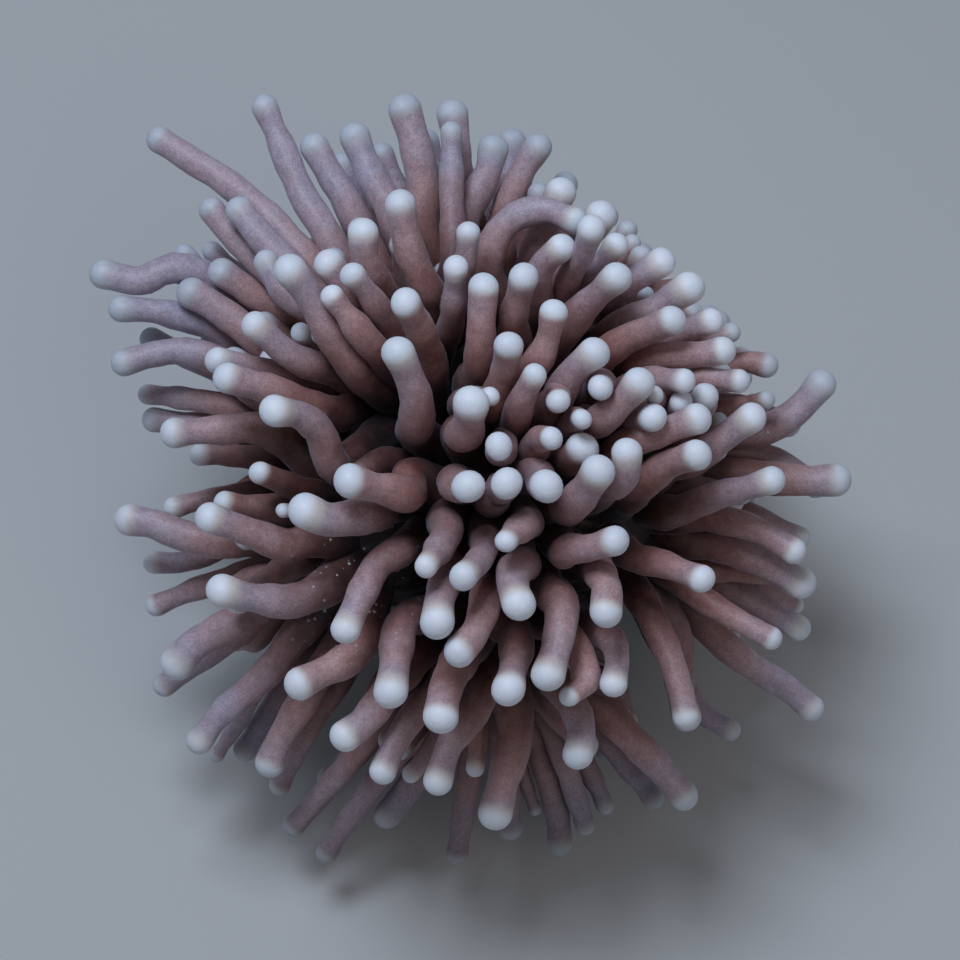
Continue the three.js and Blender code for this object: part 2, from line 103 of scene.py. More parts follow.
# A row holds, for one tentacle: the tip across and up, the knob's radius, then points that its shaft passes
# through, from the tip inwards, across and up. reach is how far out a layer's tips stand, and rim how near
# the eye its tips stand at the crown's edge. stout is how much thicker its shafts are than is usual for
# their knobs.
LAYERS = (
    {
        "reach": 70,
        "rim": 8,
        "stout": 1.0,
        "rows": (
            (-40, 44, 3.5, -29, 31, -21, 20),
        ),
    },
    {
        "reach": 67,
        "rim": 4,
        "stout": 1.0,
        "rows": (
            # upper left
            (-66, 70, 2.8, -45, 55, -35, 48),
            (-45, 76.5, 2.7, -38, 61.5, -32, 49),
            (-35.5, 68, 3.1, -29, 57.5, -22.5, 48),
            (-27, 70.5, 3.1, -23, 59.5),
            (-55, 57, 2.8, -50, 48.5),
            (-77, 43, 3.2, -70.5, 41.5, -59.5, 44),
            (-54, 43, 3, -47, 38),
            (-73.5, 36.5, 2.9, -61.5, 36),
            (-60, 38, 3.2, -50, 33),
            (-73, 25.5, 2.9, -62, 28.5, -53.5, 29),
            (-47, 33, 2.9, -38, 25.5),
            (-32.5, 45, 3.1, -27, 37),
            (-27.5, 43, 2.7, -23.5, 38),
            (-25.5, 51.5, 3.1, -25, 45.5),
            (-54.5, 26, 2.7),
            (-52.5, 22.5, 3.1, -45, 20.5, -37, 18),
            # top
            (-17, 76, 3.4, -14.5, 67.5, -11.5, 55),
            (-7.5, 75, 3.2, -5.5, 65.5),
            (0, 68, 3.1, -3, 59.5, -6, 49),
            (9.5, 68.5, 3, 5, 61.5, 0, 53.5),
            (-18, 57, 3.3, -16.5, 49, -13, 39),
            (-4.5, 51.5, 2.4, -5, 46.5),
            (-7, 44.5, 2.7, -7.5, 36),
            (-1.5, 40.5, 3.2, -2, 29),
            (6.5, 42.5, 3.2, 4.5, 33),
            (-17, 37.5, 3.2, -13.5, 31, -11, 24),
            (-18.5, 27.5, 3.5, -16, 22, -12.5, 13),
            (12.5, 35.5, 2.9, 11, 29, 8, 22),
            (14, 48.5, 3, 10, 44.5),
            (14, 59.5, 3.2, 10, 50),
            (16.5, 54, 2.9, 11, 56, 4.5, 54.5, -0.5, 46.5),
            (22, 54.8, 3.3, 15, 44),
            (25, 42.5, 3.3, 18, 36, 12, 28),
            (25, 49, 2.6, 20, 42),
            (34, 45.5, 3.1, 29.5, 41.5),
            # right
            (3.5, 29, 3),
            (20.5, 27.5, 3.3, 16, 23.5),
            (39.5, 40.5, 3.4, 31.5, 36.5, 26, 33.5),
            (36, 34, 3.1, 28, 30.5, 22, 25.5),
            (44, 33.5, 2.6, 39, 31),
            (46, 28, 3, 39, 28, 31.5, 28),
            (49.5, 22, 2.5, 43.5, 22.5),
            (38.5, 22, 2.5, 33.5, 22.5),
            (29.5, 21.5, 3.3, 26, 17.5, 22, 14),
            (41, 14, 3.2, 35.5, 12, 28, 10),
            (52, 14.5, 3.2, 47, 11, 42, 7),
            (66, 21, 3.3, 62, 16.5, 55, 12),
            (69, 2, 3.3, 60, 2),
            (41, 7.5, 3.2, 35.5, 5.5, 29.5, 0.5),
            (27, 7.5, 3.1, 26.5, 2.5),
            (56, 2, 3, 49, 0, 40, -2),
            (21.5, 4, 3.5, 17.5, -2, 14, -6),
            (24.5, -10, 3.2, 19, -11),
            # centre
            (-4, 17.5, 3.7, -4.5, 11.5),
            (1.5, 9, 2.9),
            (-4, 1, 3.4),
            (2.5, 1.5, 3.3),
            (11, 1, 3.5),
            (-28, 2, 3.6, -20, 0, -12.5, -1.5),
            (-5.5, -17, 3, -1.5, -13, -0.5, -9),
            (5.5, -22.5, 3.5, 4, -17, 6.5, -11),
            (-10, -27, 3.7, -10, -21),
            (-7, -31, 3.3, -3, -27.5, -1, -22),
            (23, -24, 3.4, 23, -19),
            # left
            (-63, 11.5, 3.1, -55.5, 12, -45, 12),
            (-43, 16, 3.4, -37, 14.5, -33, 10, -32, 4.5),
            (-56, -5.5, 3.2, -49, -8, -41, -11, -33, -11),
            (-37, -4, 3.7, -31, -6, -25, -4.5),
            (-72, -6, 3.2, -66.5, -7, -58, -10),
            (-53.5, -20, 3.5, -47, -21.5, -39, -22, -33, -18),
            (-29, -27.5, 3.1, -26, -21, -22, -14, -16, -11),
            (-62.5, -34.5, 3.5, -58, -30, -51.5, -27),
            (-38, -38.5, 3.4, -33, -36, -27, -32.5),
            # front
            (-44, -54.5, 3, -41.5, -48.5, -37.5, -42.5),
            (-58, -50, 2.9, -53.5, -44.5, -45.5, -37.5),
            (-29, -49, 3.2, -24, -45, -21, -40.5),
            (-20, -40, 3.6, -19, -33.5, -18, -27),
            (-21.5, -56, 2.8, -19, -50.5, -15.5, -45),
            (-10.5, -58, 3, -8, -50.5, -2.5, -43),
            (-10, -45, 3.6, -9, -39.5),
            (3.5, -39.5, 3.6, 5, -33, 5, -28),
            (11.5, -36.5, 3.6, 13.5, -29.5, 14, -23),
            (24.5, -38.5, 2.8, 25, -31.5),
            (17.5, -52.5, 3.3, 18, -46.5),
            (1, -64.5, 3.5, 3, -56.5, 5, -49),
            (38.5, -61, 3.2, 33, -54.5, 27, -48.5),
            # lower right
            (60.5, -12, 2.7, 54.5, -8.5, 47, -6),
            (62, -18.5, 3.2, 54.5, -14.5, 45, -10.5),
            (42, -17.5, 2.9, 35.5, -15, 28, -13),
            (61.5, -27.5, 2.7, 56.5, -24.5, 49, -20),
            (56, -29.5, 2.4, 50.5, -26.5, 43, -22),
            (64, -43.5, 2.8, 58.5, -39, 50.5, -34),
            (39, -45, 2.7, 37.5, -38, 33.5, -28),
        ),
    },
    {
        "reach": 66,
        "rim": 4,
        "stout": 1.35,
        "rows": (
            (-13, -15, 2.4, -9.5, -10, -7, -5),
            (3, -10, 2.3, 7, -5.5),
            (15.8, -41, 2.2, 19, -38, 17, -30),
        ),
    },
    {
        "reach": 62,
        "rim": -2,
        "stout": 1.0,
        "rows": (
            (18.5, 9, 3.4, 15, 5),
        ),
    },
    {
        "reach": 64,
        "rim": -12,
        "stout": 1.0,
        "rows": (
            (-29.5, 65, 2.5),
            (-67.5, 30, 2.6),
            (-12.5, 69.5, 2.6),
            (4.5, 69.5, 2.8),
            (-21.5, 67, 2.6),
            (55, 25, 2.7, 50.5, 25.5),
            (-67, 14, 2.6),
            (-63, -3.5, 2.4, -57.5, -2, -50, -1),
            (-67, -14.5, 2.4, -59.5, -14),
            (-66.5, -23, 2.4, -60.5, -20.5),
            (-65, -39, 2.4),
            (-49, -52, 2.4),
            (14, -70.5, 2.7, 13.5, -65),
            (48, -48, 2.2, 43, -45),
            (32.5, -61.5, 2.4),
            (-32.5, -72.5, 2.4),
            (-39, -67, 2.4),
            (-6.5, -72.5, 2.4),
        ),
    },
)

# Smaller tentacles that show between the others. plunge, where a layer has one, is how far its shafts go
# straight down behind their knobs before they turn to the root.
PLUNGE_LEAN = 0.12  # and how far they lean towards it on the way, as a share of the way there
SMALL_LAYERS = (
    {
        "reach": 70,
        "rim": 11,
        "stout": 1.1,
        "rows": (
            (-50, 56, 2.8, -46, 50),
            (-7.8, 71.5, 2.3, -7.5, 61.5),
        ),
    },
    {
        "reach": 70,
        "rim": 11,
        "stout": 0.85,
        "rows": (
            (19.6, 52.4, 3.0, 18.3, 46.5),
        ),
    },
    {
        "reach": 66,
        "rim": 3,
        "stout": 1.2,
        "rows": (
            # upper left
            (-44.5, 45.5, 2.6, -38, 38),
            (-31.8, 38.8, 2.4, -27, 32),
            # centre
            (8.7, 23.2, 2.4, 5, 18),
            (12, 10.6, 2.4, 6, 10),
        ),
    },
    {
        "reach": 64.5,
        "rim": 2,
        "stout": 1.2,
        "plunge": 18,
        "rows": (
            (13.6, 17.5, 2.5),
            (22, 20.8, 2.6),
            (41.5, 18.6, 2.7),
            (35.8, 16, 2.5),
            (32, 14.6, 2.9),
            (32.8, 18.5, 1.9),
            (-0.3, 18.8, 2.0),
            (17.3, 14.2, 2.1),
        ),
    },
    {
        "reach": 62,
        "rim": -10,
        "stout": 1.1,
        "rows": (
            # upper left
            (-60.5, 47, 2.4),
            (-56, 47, 2.1),
            (-37.5, 32.5, 2.1),
            (-34, 29, 2),
            # top
            (8.5, 59.5, 2.4),
            (15, 61, 2.7),
            (27, 52, 2.2),
            (28.5, 49, 1.9),
            (29.5, 47, 2.2),
            # right
            (31, 39, 1.8),
            (40, 35.5, 1.9),
            (48, 31.5, 2.1),
            (55, 18, 2),
            (45, 14.5, 1.7),
            # left
            (-27, 0.5, 3, -21.5, 5.5, -15, 1),
            (-68, 18, 2.2),
            (-58, 7, 2.2),
            (-46, 3.5, 2.4),
            (-41.5, -4, 1.5),
            (-53, -2.5, 2.4),
            (-54.5, -53, 1.6),
            # front
            (-31.5, -58, 2.8),
            (-42, -59, 2.2),
            (-20.5, -65, 2.8),
            (-16, -56.5, 1.9),
            (-3, -55.5, 1.9),
            (4, -67.5, 2.6),
            (10, -63.5, 1.4),
            (19, -67, 2.1),
            (23, -63, 2),
            # lower right
            (62, -9.5, 2.2),
            (61, -23, 1.8),
        ),
    },
)

# Tips on an even spiral over the whole ball, taken wherever there is room for one. Each is short enough to
# stay hidden from that eye behind the others. The far ones are in the solids too, and the fill ones are not.
GOLDEN_ANGLE = math.pi * (3 - math.sqrt(5))
FAR = {
    "tips": 400,
    "side": 0.2,
    "lowest": -0.62,
    "spacing": 18.5,
    "reach": 66.0,
    "ragged": 12.0,
    "bulb": 3.0,
    "bend": 12.0,
}
FILL = {
    "tips": 1500,
    "side": 0.35,
    "lowest": -0.68,
    "spacing": 10.5,
    "reach": 62.0,
    "ragged": 9.0,
    "bulb": 2.7,
    "bend": 10.0,
}
BULB_LEAST = 0.85  # the smallest knob, and how much larger the largest is, in usual ones
BULB_VARIETY = 0.3
BEND_AT = 0.6  # where a shaft is bent most, as a share of the way to the tip
BEND_RISE = 3.0
SHORTENING = range(0, 25, 3)  # what is tried, until the knob is hidden
HIDDEN_RIM = 0.7  # how much of a knob's radius has to be hidden
COVER_DOTS = 25


def scatter(seed):
    """A number from 0 to 1 that looks random and is the same every time."""
    wave = math.sin(seed * 12.9898) * 43758.5453
    return wave - math.floor(wave)


def unit(vector):
    return vector / np.linalg.norm(vector)


def seen_at(across, up, near):
    """A place seen at (across, up) from the eye, at the depth near."""
    shrink = (VIEW_DISTANCE - near) / VIEW_DISTANCE
    return CENTRE + ACROSS * across * shrink + UP * up * shrink + NEAR * near


def as_seen(places):
    """The reverse of seen_at: across, up and near of each place."""
    out = places - CENTRE
    near = out @ NEAR
    grow = VIEW_DISTANCE / (VIEW_DISTANCE - near)
    return np.stack((out @ ACROSS * grow, out @ UP * grow, near), axis=-1)


def polyp_direction(off, turned):
    tilt = math.radians(off)
    turn = math.radians(turned)
    return (
        NEAR * math.cos(tilt)
        + ACROSS * math.sin(tilt) * math.cos(turn)
        + UP * math.sin(tilt) * math.sin(turn)
    )


DIRECTIONS = {name: polyp_direction(*place) for name, place in POLYPS.items()}
MIDDLES = {name: CENTRE + POLYP_DISTANCE * direction for name, direction in DIRECTIONS.items()}


def nearest_polyp(place):
    out = unit(place - CENTRE)
    return max(DIRECTIONS, key=lambda name: out @ DIRECTIONS[name])


def smooth_line(passes, count):
    """count evenly spaced places on a smooth line through the given ones."""
    passes = np.asarray(passes, float)
    before = 2 * passes[0] - passes[1]
    after = 2 * passes[-1] - passes[-2]
    knots = np.vstack((before, passes, after))
    share = np.linspace(0, 1, STEPS_BETWEEN)[:, None]
    fine = []
    for a, b, c, d in zip(knots, knots[1:], knots[2:], knots[3:]):
        ab, bc, cd = (math.sqrt(np.linalg.norm(q - p)) for p, q in ((a, b), (b, c), (c, d)))
        leave = ((b - a) / ab - (c - a) / (ab + bc) + (c - b) / bc) * bc
        arrive = ((c - b) / bc - (d - b) / (bc + cd) + (d - c) / cd) * bc
        bend = -3 * b + 3 * c - 2 * leave - arrive
        twist = 2 * b - 2 * c + leave + arrive
        fine.append(b + share * (leave + share * (bend + share * twist)))
    fine = np.vstack([part[:-1] for part in fine] + [fine[-1][-1:]])
    run = np.concatenate(([0], np.cumsum(np.linalg.norm(np.diff(fine, axis=0), axis=1))))
    stops = np.linspace(0, run[-1], count)
    return np.stack([np.interp(stops, run, fine[:, axis]) for axis in range(3)], axis=1)


class Tentacle:
    """A tentacle's middle line, from inside its polyp's body to the middle of its knob."""

    def __init__(self, tip, bulb, passes=(), stout=1.0):
        inward = passes[-1] if passes else tip
        self.polyp = nearest_polyp(tip)
        middle = MIDDLES[self.polyp]
        root = middle + ROOT_DISTANCE * unit(inward - middle)
        self.bulb = bulb
        self.stout = stout
        self.points = smooth_line([root, *passes[::-1], tip], SAMPLES)

    def girths(self):
        share = np.arange(SAMPLES) / (SAMPLES - 1)
        neck = self.bulb * self.stout * BULB_TO_NECK
        shaft = self.bulb * self.stout * BULB_TO_SHAFT
        narrowed = np.clip((share - NARROWS_FROM) / (NARROWS_TO - NARROWS_FROM), 0, 1)
        return np.where(share > NARROWS_TO, self.bulb, shaft + (neck - shaft) * narrowed)


def seen_tentacle(layer, row):
    across, up, bulb, *shaft = row
    near = layer["rim"] + math.sqrt(max(0, layer["reach"] ** 2 - across**2 - up**2))
    tip = seen_at(across, up, near)
    root = MIDDLES[nearest_polyp(tip)] - CENTRE
    plunge = layer.get("plunge", 0)
    lean = PLUNGE_LEAN * np.array((root @ ACROSS - across, root @ UP - up))
    passes = [seen_at(across + lean[0], up + lean[1], near - plunge)] if plunge else []
    for x, y in zip(shaft[::2], shaft[1::2]):
        from_root = math.hypot(x - root @ ACROSS, y - root @ UP)
        from_tip = math.hypot(x - across, y - up)
        share = from_root / (from_root + from_tip)
        depth = root @ NEAR + (near - root @ NEAR) * math.sqrt(share)
        passes.append(seen_at(x, y, depth))
    return Tentacle(tip, bulb * (VIEW_DISTANCE - near) / VIEW_DISTANCE, passes, layer["stout"])


class Cover:
    """What the eye sees of some tentacles, as dots that can hide a knob behind them."""

    def __init__(self, tentacles):
        self.dots = as_seen(np.concatenate([smooth_line(t.points, COVER_DOTS) for t in tentacles]))
        self.widths = np.repeat([t.bulb for t in tentacles], COVER_DOTS)[:, None]

    def hides(self, place, bulb):
        """Whether dots nearer to the eye cover a knob's middle and its rim."""
        across, up, near = as_seen(place)
        rim = bulb * HIDDEN_RIM
        aside = across + np.array((0, rim, -rim, 0, 0))
        above = up + np.array((0, 0, 0, rim, -rim))
        apart = np.hypot(self.dots[:, :1] - aside, self.dots[:, 1:2] - above)
        before = self.dots[:, 2:] > near
        return bool(np.all(np.any(before & (apart < self.widths), axis=0)))


def withdrawn(tentacle, cover):
    """Draws a tentacle in until its knob is hidden, and says whether that could be done."""
    line = smooth_line(tentacle.points, COVER_DOTS)
    for kept in range(COVER_DOTS, COVER_DOTS // 2, -1):
        if cover.hides(line[kept - 1], tentacle.bulb):
            tentacle.points = smooth_line(line[:kept], SAMPLES)
            return True
    return False


def spiral_tentacles(kind, neighbours):
    """Tentacles with their tips on an even spiral, where no other tip is near and the eye doesn't look."""
    cover = Cover(neighbours)
    tips = [t.points[-1] for t in neighbours]
    made = []
    for i in range(kind["tips"]):
        z = 1 - (2 * i + 1) / kind["tips"]
        flat = math.sqrt(1 - z * z)
        direction = np.array((flat * math.cos(i * GOLDEN_ANGLE), flat * math.sin(i * GOLDEN_ANGLE), z))
        bulb = kind["bulb"] * (BULB_LEAST + BULB_VARIETY * scatter(i + 0.8))
        place = CENTRE + direction * (kind["reach"] + kind["ragged"] * (scatter(i) - 0.5))
        if direction @ NEAR > kind["side"] or z < kind["lowest"]:
            continue
        if np.linalg.norm(np.array(tips) - place, axis=1).min() < kind["spacing"]:
            continue
        shorter = (place - cut * direction for cut in SHORTENING)
        tip = next((end for end in shorter if cover.hides(end, bulb)), None)
        if tip is None:
            continue
        tips.append(place)
        bend = np.array([scatter(i + 0.2), scatter(i + 0.4), scatter(i + 0.6)]) - 0.5
        root = MIDDLES[nearest_polyp(tip)]
        middle = root + BEND_AT * (tip - root) + kind["bend"] * bend
        middle[2] += BEND_RISE
        made.append(Tentacle(tip, bulb, [middle]))
    return made


def settle(tentacles, first=0):
    """Tentacles that would pass through each other lean apart. Those before the first stay as they are."""
    lines = np.array([t.points for t in tentacles])
    girths = np.array([t.girths() for t in tentacles])[:, FREE_FROM:]
    owner = np.repeat(np.arange(len(tentacles)), SAMPLES - FREE_FROM)
    moving = owner >= first
    thick = girths.ravel()
    need = thick[moving][:, None] + thick[None] + CLEARANCE
    need[owner[moving][:, None] == owner[None]] = 0
    freedom = np.minimum(1, np.arange(SAMPLES) / (FREE_FROM + 1))[None, :, None]
    for _ in range(SETTLING_ROUNDS):
        dots = lines[:, FREE_FROM:].reshape(-1, 3)
        away = dots[moving][:, None] - dots[None]
        distance = np.sqrt((away**2).sum(axis=2))
        short = np.where(distance < need, need - distance, 0) / np.maximum(distance, 1e-9)
        given = SETTLING_STEP * (away * short[..., None]).sum(axis=1)
        push = np.zeros((len(tentacles) - first, SAMPLES, 3))
        push[:, FREE_FROM:] = given.reshape(-1, SAMPLES - FREE_FROM, 3)
        before = np.concatenate((push[:, :1], push[:, :-1]), axis=1)
        after = np.concatenate((push[:, 1:], push[:, -1:]), axis=1)
        moved = (before + 2 * push + after) / 4 * freedom
        length = np.linalg.norm(moved, axis=2, keepdims=True)
        lines[first:] += moved * np.minimum(1, LONGEST_STEP / np.maximum(length, 1e-9))
    for tentacle, line in zip(tentacles[first:], lines[first:]):
        tentacle.points = line


def relax(tentacle):
    """Takes the kinks out of a middle line that its neighbours have pushed about."""
    line = tentacle.points
    for _ in range(RELAXING_ROUNDS):
        line[1:-1] = (line[:-2] + 2 * line[1:-1] + line[2:]) / 4


def grown_tentacles():
    """Every tentacle of the colony. Those that the solids have too come first, and settle first."""
    main = [seen_tentacle(layer, row) for layer in LAYERS for row in layer["rows"]]
    main += spiral_tentacles(FAR, main)
    settle(main)
    small = [seen_tentacle(layer, row) for layer in SMALL_LAYERS for row in layer["rows"]]
    shown = main + small
    fill = spiral_tentacles(FILL, shown)
    settle(shown + fill, len(main))
    for tentacle in small + fill:
        relax(tentacle)
    cover = Cover(shown)
    fill = [tentacle for tentacle in fill if withdrawn(tentacle, cover)]
    return shown + fill


def turned(outline, sides, merge):
    """What a lathe makes round Z from pairs of radius and height, with corners nearer than merge joined."""
    bm = bmesh.new()
    verts = [bm.verts.new((radius, 0, height)) for radius, height in outline]
    edges = [bm.edges.new(pair) for pair in zip(verts, verts[1:])]
    bmesh.ops.spin(
        bm,
        geom=verts + edges,
        axis=(0, 0, 1),
        cent=(0, 0, 0),
        steps=sides,
        angle=math.tau,
        use_merge=True,
    )
    bmesh.ops.remove_doubles(bm, verts=bm.verts[:], dist=merge)
    bmesh.ops.recalc_face_normals(bm, faces=bm.faces[:])
    return bm


def smooth_mesh(bm, name):
    """The mesh of a bmesh, shaded smooth."""
    for face in bm.faces:
        face.smooth = True
    mesh = bpy.data.meshes.new(name)
    bm.to_mesh(mesh)
    bm.free()
    return mesh


# A tentacle's outline, from the root to the knob: the share of the way, and the girth in radii of the knob.
SHAFT_OUTLINE = (
    (0.0, 1.16),
    (0.12, 1.22),
    (0.25, 1.24),
    (0.4, 1.2),
    (0.55, 1.13),
    (0.7, 1.07),
    (0.85, 1.02),
    (1.0, 1.0),
)
SHAFT_RINGS = 16
KNOB_LENGTH = 4.5  # what is shaped as knob and neck, in radii of the knob
KNOB_RINGS = 16
KNOB_CROWDING = 1.6  # how much closer the rings stand near the top
FINGER_SIDES = 20


def finger_outline():
    """Pairs of girth and height: the shaft from 0 to 1, the neck and the knob from 1 to 2."""
    shares = np.arange(SHAFT_RINGS) / SHAFT_RINGS
    girths = np.interp(shares, *zip(*SHAFT_OUTLINE))
    rows = [(0.0, 0.0), *zip(girths, shares)]
    for ring in range(KNOB_RINGS):
        from_top = KNOB_LENGTH * (1 - ring / KNOB_RINGS) ** KNOB_CROWDING
        dome = math.sqrt(1 - max(0.0, 1 - from_top) ** 2)
        rows.append((dome, 2 - from_top / KNOB_LENGTH))
    return [*rows, (0.0, 2.0)]


def finger_mesh():
    """One tentacle's skin as it comes off the lathe: round Z, straight, with a knob of radius 1."""
    return smooth_mesh(turned(finger_outline(), FINGER_SIDES, 1e-5), "finger")


# How a finger is laid along its tentacle.
LINE_STEPS = 60
SHORTEST_SHAFT = 0.3  # of a tentacle's length, where its knob and neck would take nearly all of it
ASKEW = (0.31, 0.42, 0.85)  # a direction that no tentacle takes
SMOOTH_LENGTH = 2.5  # the knob's even girth turns uneven over this many of its radii
NECK_FROM_TOP = 2.5
NECK_LENGTH = 1.1
NECK_DEPTH = (0.06, 0.2)  # the shallowest and the deepest, as a share of the girth
LUMP_LENGTH = 11.0
LUMP_DEPTH = 0.05
RIPPLE_LENGTH = 5.2
RIPPLE_DEPTH = 0.022
OVAL = 0.035


def bent_finger(finger, tentacle, seed):
    """The finger's corners laid along a tentacle's middle line, and how far each is from the top."""
    line = smooth_line(tentacle.points, LINE_STEPS)
    steps = np.linalg.norm(np.diff(line, axis=0), axis=1)
    run = np.concatenate(([0], np.cumsum(steps)))
    length = run[-1]
    bulb = tentacle.bulb
    height = finger[:, 2]
    neck = max(SHORTEST_SHAFT * length, length - (KNOB_LENGTH - 1) * bulb)
    place = np.where(height <= 1, height * neck, neck + (height - 1) * (length + bulb - neck))
    from_top = (length + bulb - place) / bulb

    on_line = np.minimum(place, length)
    spots = np.stack([np.interp(on_line, run, line[:, axis]) for axis in range(3)], axis=1)
    tangents = np.gradient(line, axis=0)
    forward = np.stack([np.interp(on_line, run, tangents[:, axis]) for axis in range(3)], axis=1)
    forward /= np.linalg.norm(forward, axis=1, keepdims=True)
    side = unit(np.cross(line[-1] - line[0], ASKEW))
    right = side - forward * (forward @ side)[:, None]
    right /= np.linalg.norm(right, axis=1, keepdims=True)
    over = np.cross(forward, right)

    angle = np.arctan2(finger[:, 1], finger[:, 0])
    shallow, deep = NECK_DEPTH
    neck_depth = shallow + (deep - shallow) * scatter(seed + 0.45)
    necked = 1 - neck_depth * np.exp(-(((from_top - NECK_FROM_TOP) / NECK_LENGTH) ** 2))
    shaft = np.clip((from_top - 1) / SMOOTH_LENGTH, 0, 1)
    stout = 1 + (tentacle.stout - 1) * shaft
    phase = math.tau * np.array([scatter(seed), scatter(seed + 0.3), scatter(seed + 0.6)])
    lumps = LUMP_DEPTH * np.sin(math.tau * place / LUMP_LENGTH + phase[0] + 0.6 * np.sin(angle))
    ripples = RIPPLE_DEPTH * np.sin(math.tau * place / RIPPLE_LENGTH + phase[1] + 2 * angle)
    oval = OVAL * np.cos(2 * (angle + phase[2]))
    uneven = 1 + shaft * (lumps + ripples) + oval
    girth = bulb * np.hypot(finger[:, 0], finger[:, 1]) * necked * stout * uneven
    flat = right * np.cos(angle)[:, None] + over * np.sin(angle)[:, None]
    corners = spots + flat * girth[:, None] + forward * np.maximum(0, place - length)[:, None]
    return corners, from_top


def squeezed(corners, polyp):
    """A polyp's corners kept on its own side of the valleys, and off the trunk's round head."""
    own = DIRECTIONS[polyp]
    out = corners - CENTRE
    for name, other in DIRECTIONS.items():
        if name == polyp:
            continue
        inward = unit(own - other)
        beyond = np.maximum(0, VALLEY / 2 - out @ inward)
        out = out + inward * beyond[:, None]
    distance = np.linalg.norm(out, axis=1, keepdims=True)
    return CENTRE + out * np.maximum(1, (SEAT_RADIUS + GAP) / distance)


# The fleshy body.
BODY_DETAIL = 5
FOLDS = 22
FOLD_DEPTH = 0.5
FOLD_TWIST = 3.0
BODY_LUMPS = 4.0  # lumps to a radius
BODY_LUMP_DEPTH = 0.7
BODIES_APART = 20.0  # keeps the lumps of one body from looking like the next one's
MOUTH_RADIUS = 1.75
MOUTH_DEPTH = 2.2
MOUTH_SQUARE_TO = (0.2, 0.5, 0.8)  # the slit lies square to this direction


def body_corners(ball, polyp):
    """The fleshy body: a folded ball with a slit mouth in the middle of its outer face."""
    own = DIRECTIONS[polyp]
    side = unit(np.cross(own, MOUTH_SQUARE_TO))
    over = np.cross(own, side)
    height = ball @ own
    turn = np.arctan2(ball @ over, ball @ side)
    flat = np.sqrt(np.maximum(0, 1 - height**2))
    folds = FOLD_DEPTH * flat * np.cos(FOLDS * turn + FOLD_TWIST * height)
    slit = POLYP_RADIUS * np.hypot(ball @ side / 2, ball @ over)
    mouth = np.where(height > 0, np.exp(-((slit / MOUTH_RADIUS) ** 2)), 0)
    apart = Vector(own * BODIES_APART)
    lumps = np.array([noise.noise(Vector(spot) * BODY_LUMPS + apart) for spot in ball])
    reach = POLYP_RADIUS + folds + BODY_LUMP_DEPTH * lumps - MOUTH_DEPTH * mouth
    return squeezed(MIDDLES[polyp] + ball * reach[:, None], polyp)


def corners_of(mesh):
    flat = np.zeros(len(mesh.vertices) * 3)
    mesh.vertices.foreach_get("co", flat)
    return flat.reshape(-1, 3)


# What the colours follow.
FAR_FROM_TOP = 30.0  # stands for no knob near, on the body
BODY_TONE = 0.3
SEEDS_APART = 100  # from one polyp's first seed to the next one's
ROOT_REACH = 38.0  # the flesh turns from the roots' near-black brown to the outer mauve between these two distances; the dark at the roots is partly painted shade of the crevices
OUTER_REACH = 68.0
SIDE_ON = 0.0  # the knobs that point away from the eye are less white and darker, most of all at the back: partly painted shade, partly the colony's own variation
FACE_ON = 0.6
DULL_SHARE = 0.6
DULL_FRONT = 0.25
DULL_BACK = (-0.2, 0.6)  # from where to where it grows, as shares of the way to the back
LEAST_PALE = 0.85
LOW_HEIGHT = 4.0  # what hangs low is darkened by painted shade
FULL_HEIGHT = 56.0
LOW_SHADE = 0.35
WARM_CENTRE = 0.2  # how much browner the tentacles in the middle of the crown are
WARM_FROM = 0.6  # and how near the eye that begins, as a share of the way out
PAINTED_GLINT_SPOTS = ((-28, -20, 13), (56, 14, 8), (28, -38, 9))  # patches of painted highlights, seen there: across, up and radius


def eased(value, low, high):
    share = np.clip((value - low) / (high - low), 0, 1)
    return share * share * (3 - 2 * share)


def paleness(tentacle, seed):
    """How white a tentacle's knob is, from 0 to 1. Knobs that point away from the eye get a darker cap,
    partly painted shade and partly the colony's own variation.
    """
    out = unit(tentacle.points[-1] - CENTRE)
    backward = DULL_FRONT + (1 - DULL_FRONT) * eased(out @ UP, *DULL_BACK)
    dull = DULL_SHARE * backward * (1 - eased(out @ NEAR, SIDE_ON, FACE_ON))
    return (1 - dull) * (LEAST_PALE + (1 - LEAST_PALE) * scatter(seed + 0.15))


def place_values(places):
    """What depends only on where a corner is: how far out it lies, the painted shade on what hangs low, and
    the patches of painted glints.
    """
    seen = as_seen(places)
    patches = [
        np.exp(-(((seen[:, 0] - across) / size) ** 2) - ((seen[:, 1] - up) / size) ** 2)
        for across, up, size in PAINTED_GLINT_SPOTS
    ]
    distance = np.linalg.norm(places - CENTRE, axis=1)
    outward = np.clip((distance - ROOT_REACH) / (OUTER_REACH - ROOT_REACH), 0, 1)
    return {
        "outward": outward - WARM_CENTRE * eased(seen[:, 2] / distance, WARM_FROM, 1),
        # painted shade: the lower a corner hangs, the darker its colour
        "lit": LOW_SHADE + (1 - LOW_SHADE) * eased(places[:, 2], LOW_HEIGHT, FULL_HEIGHT),
        # painted highlights: where the glints go
        "painted_glint_spots": sum(patches) * (seen[:, 2] > 0),
    }


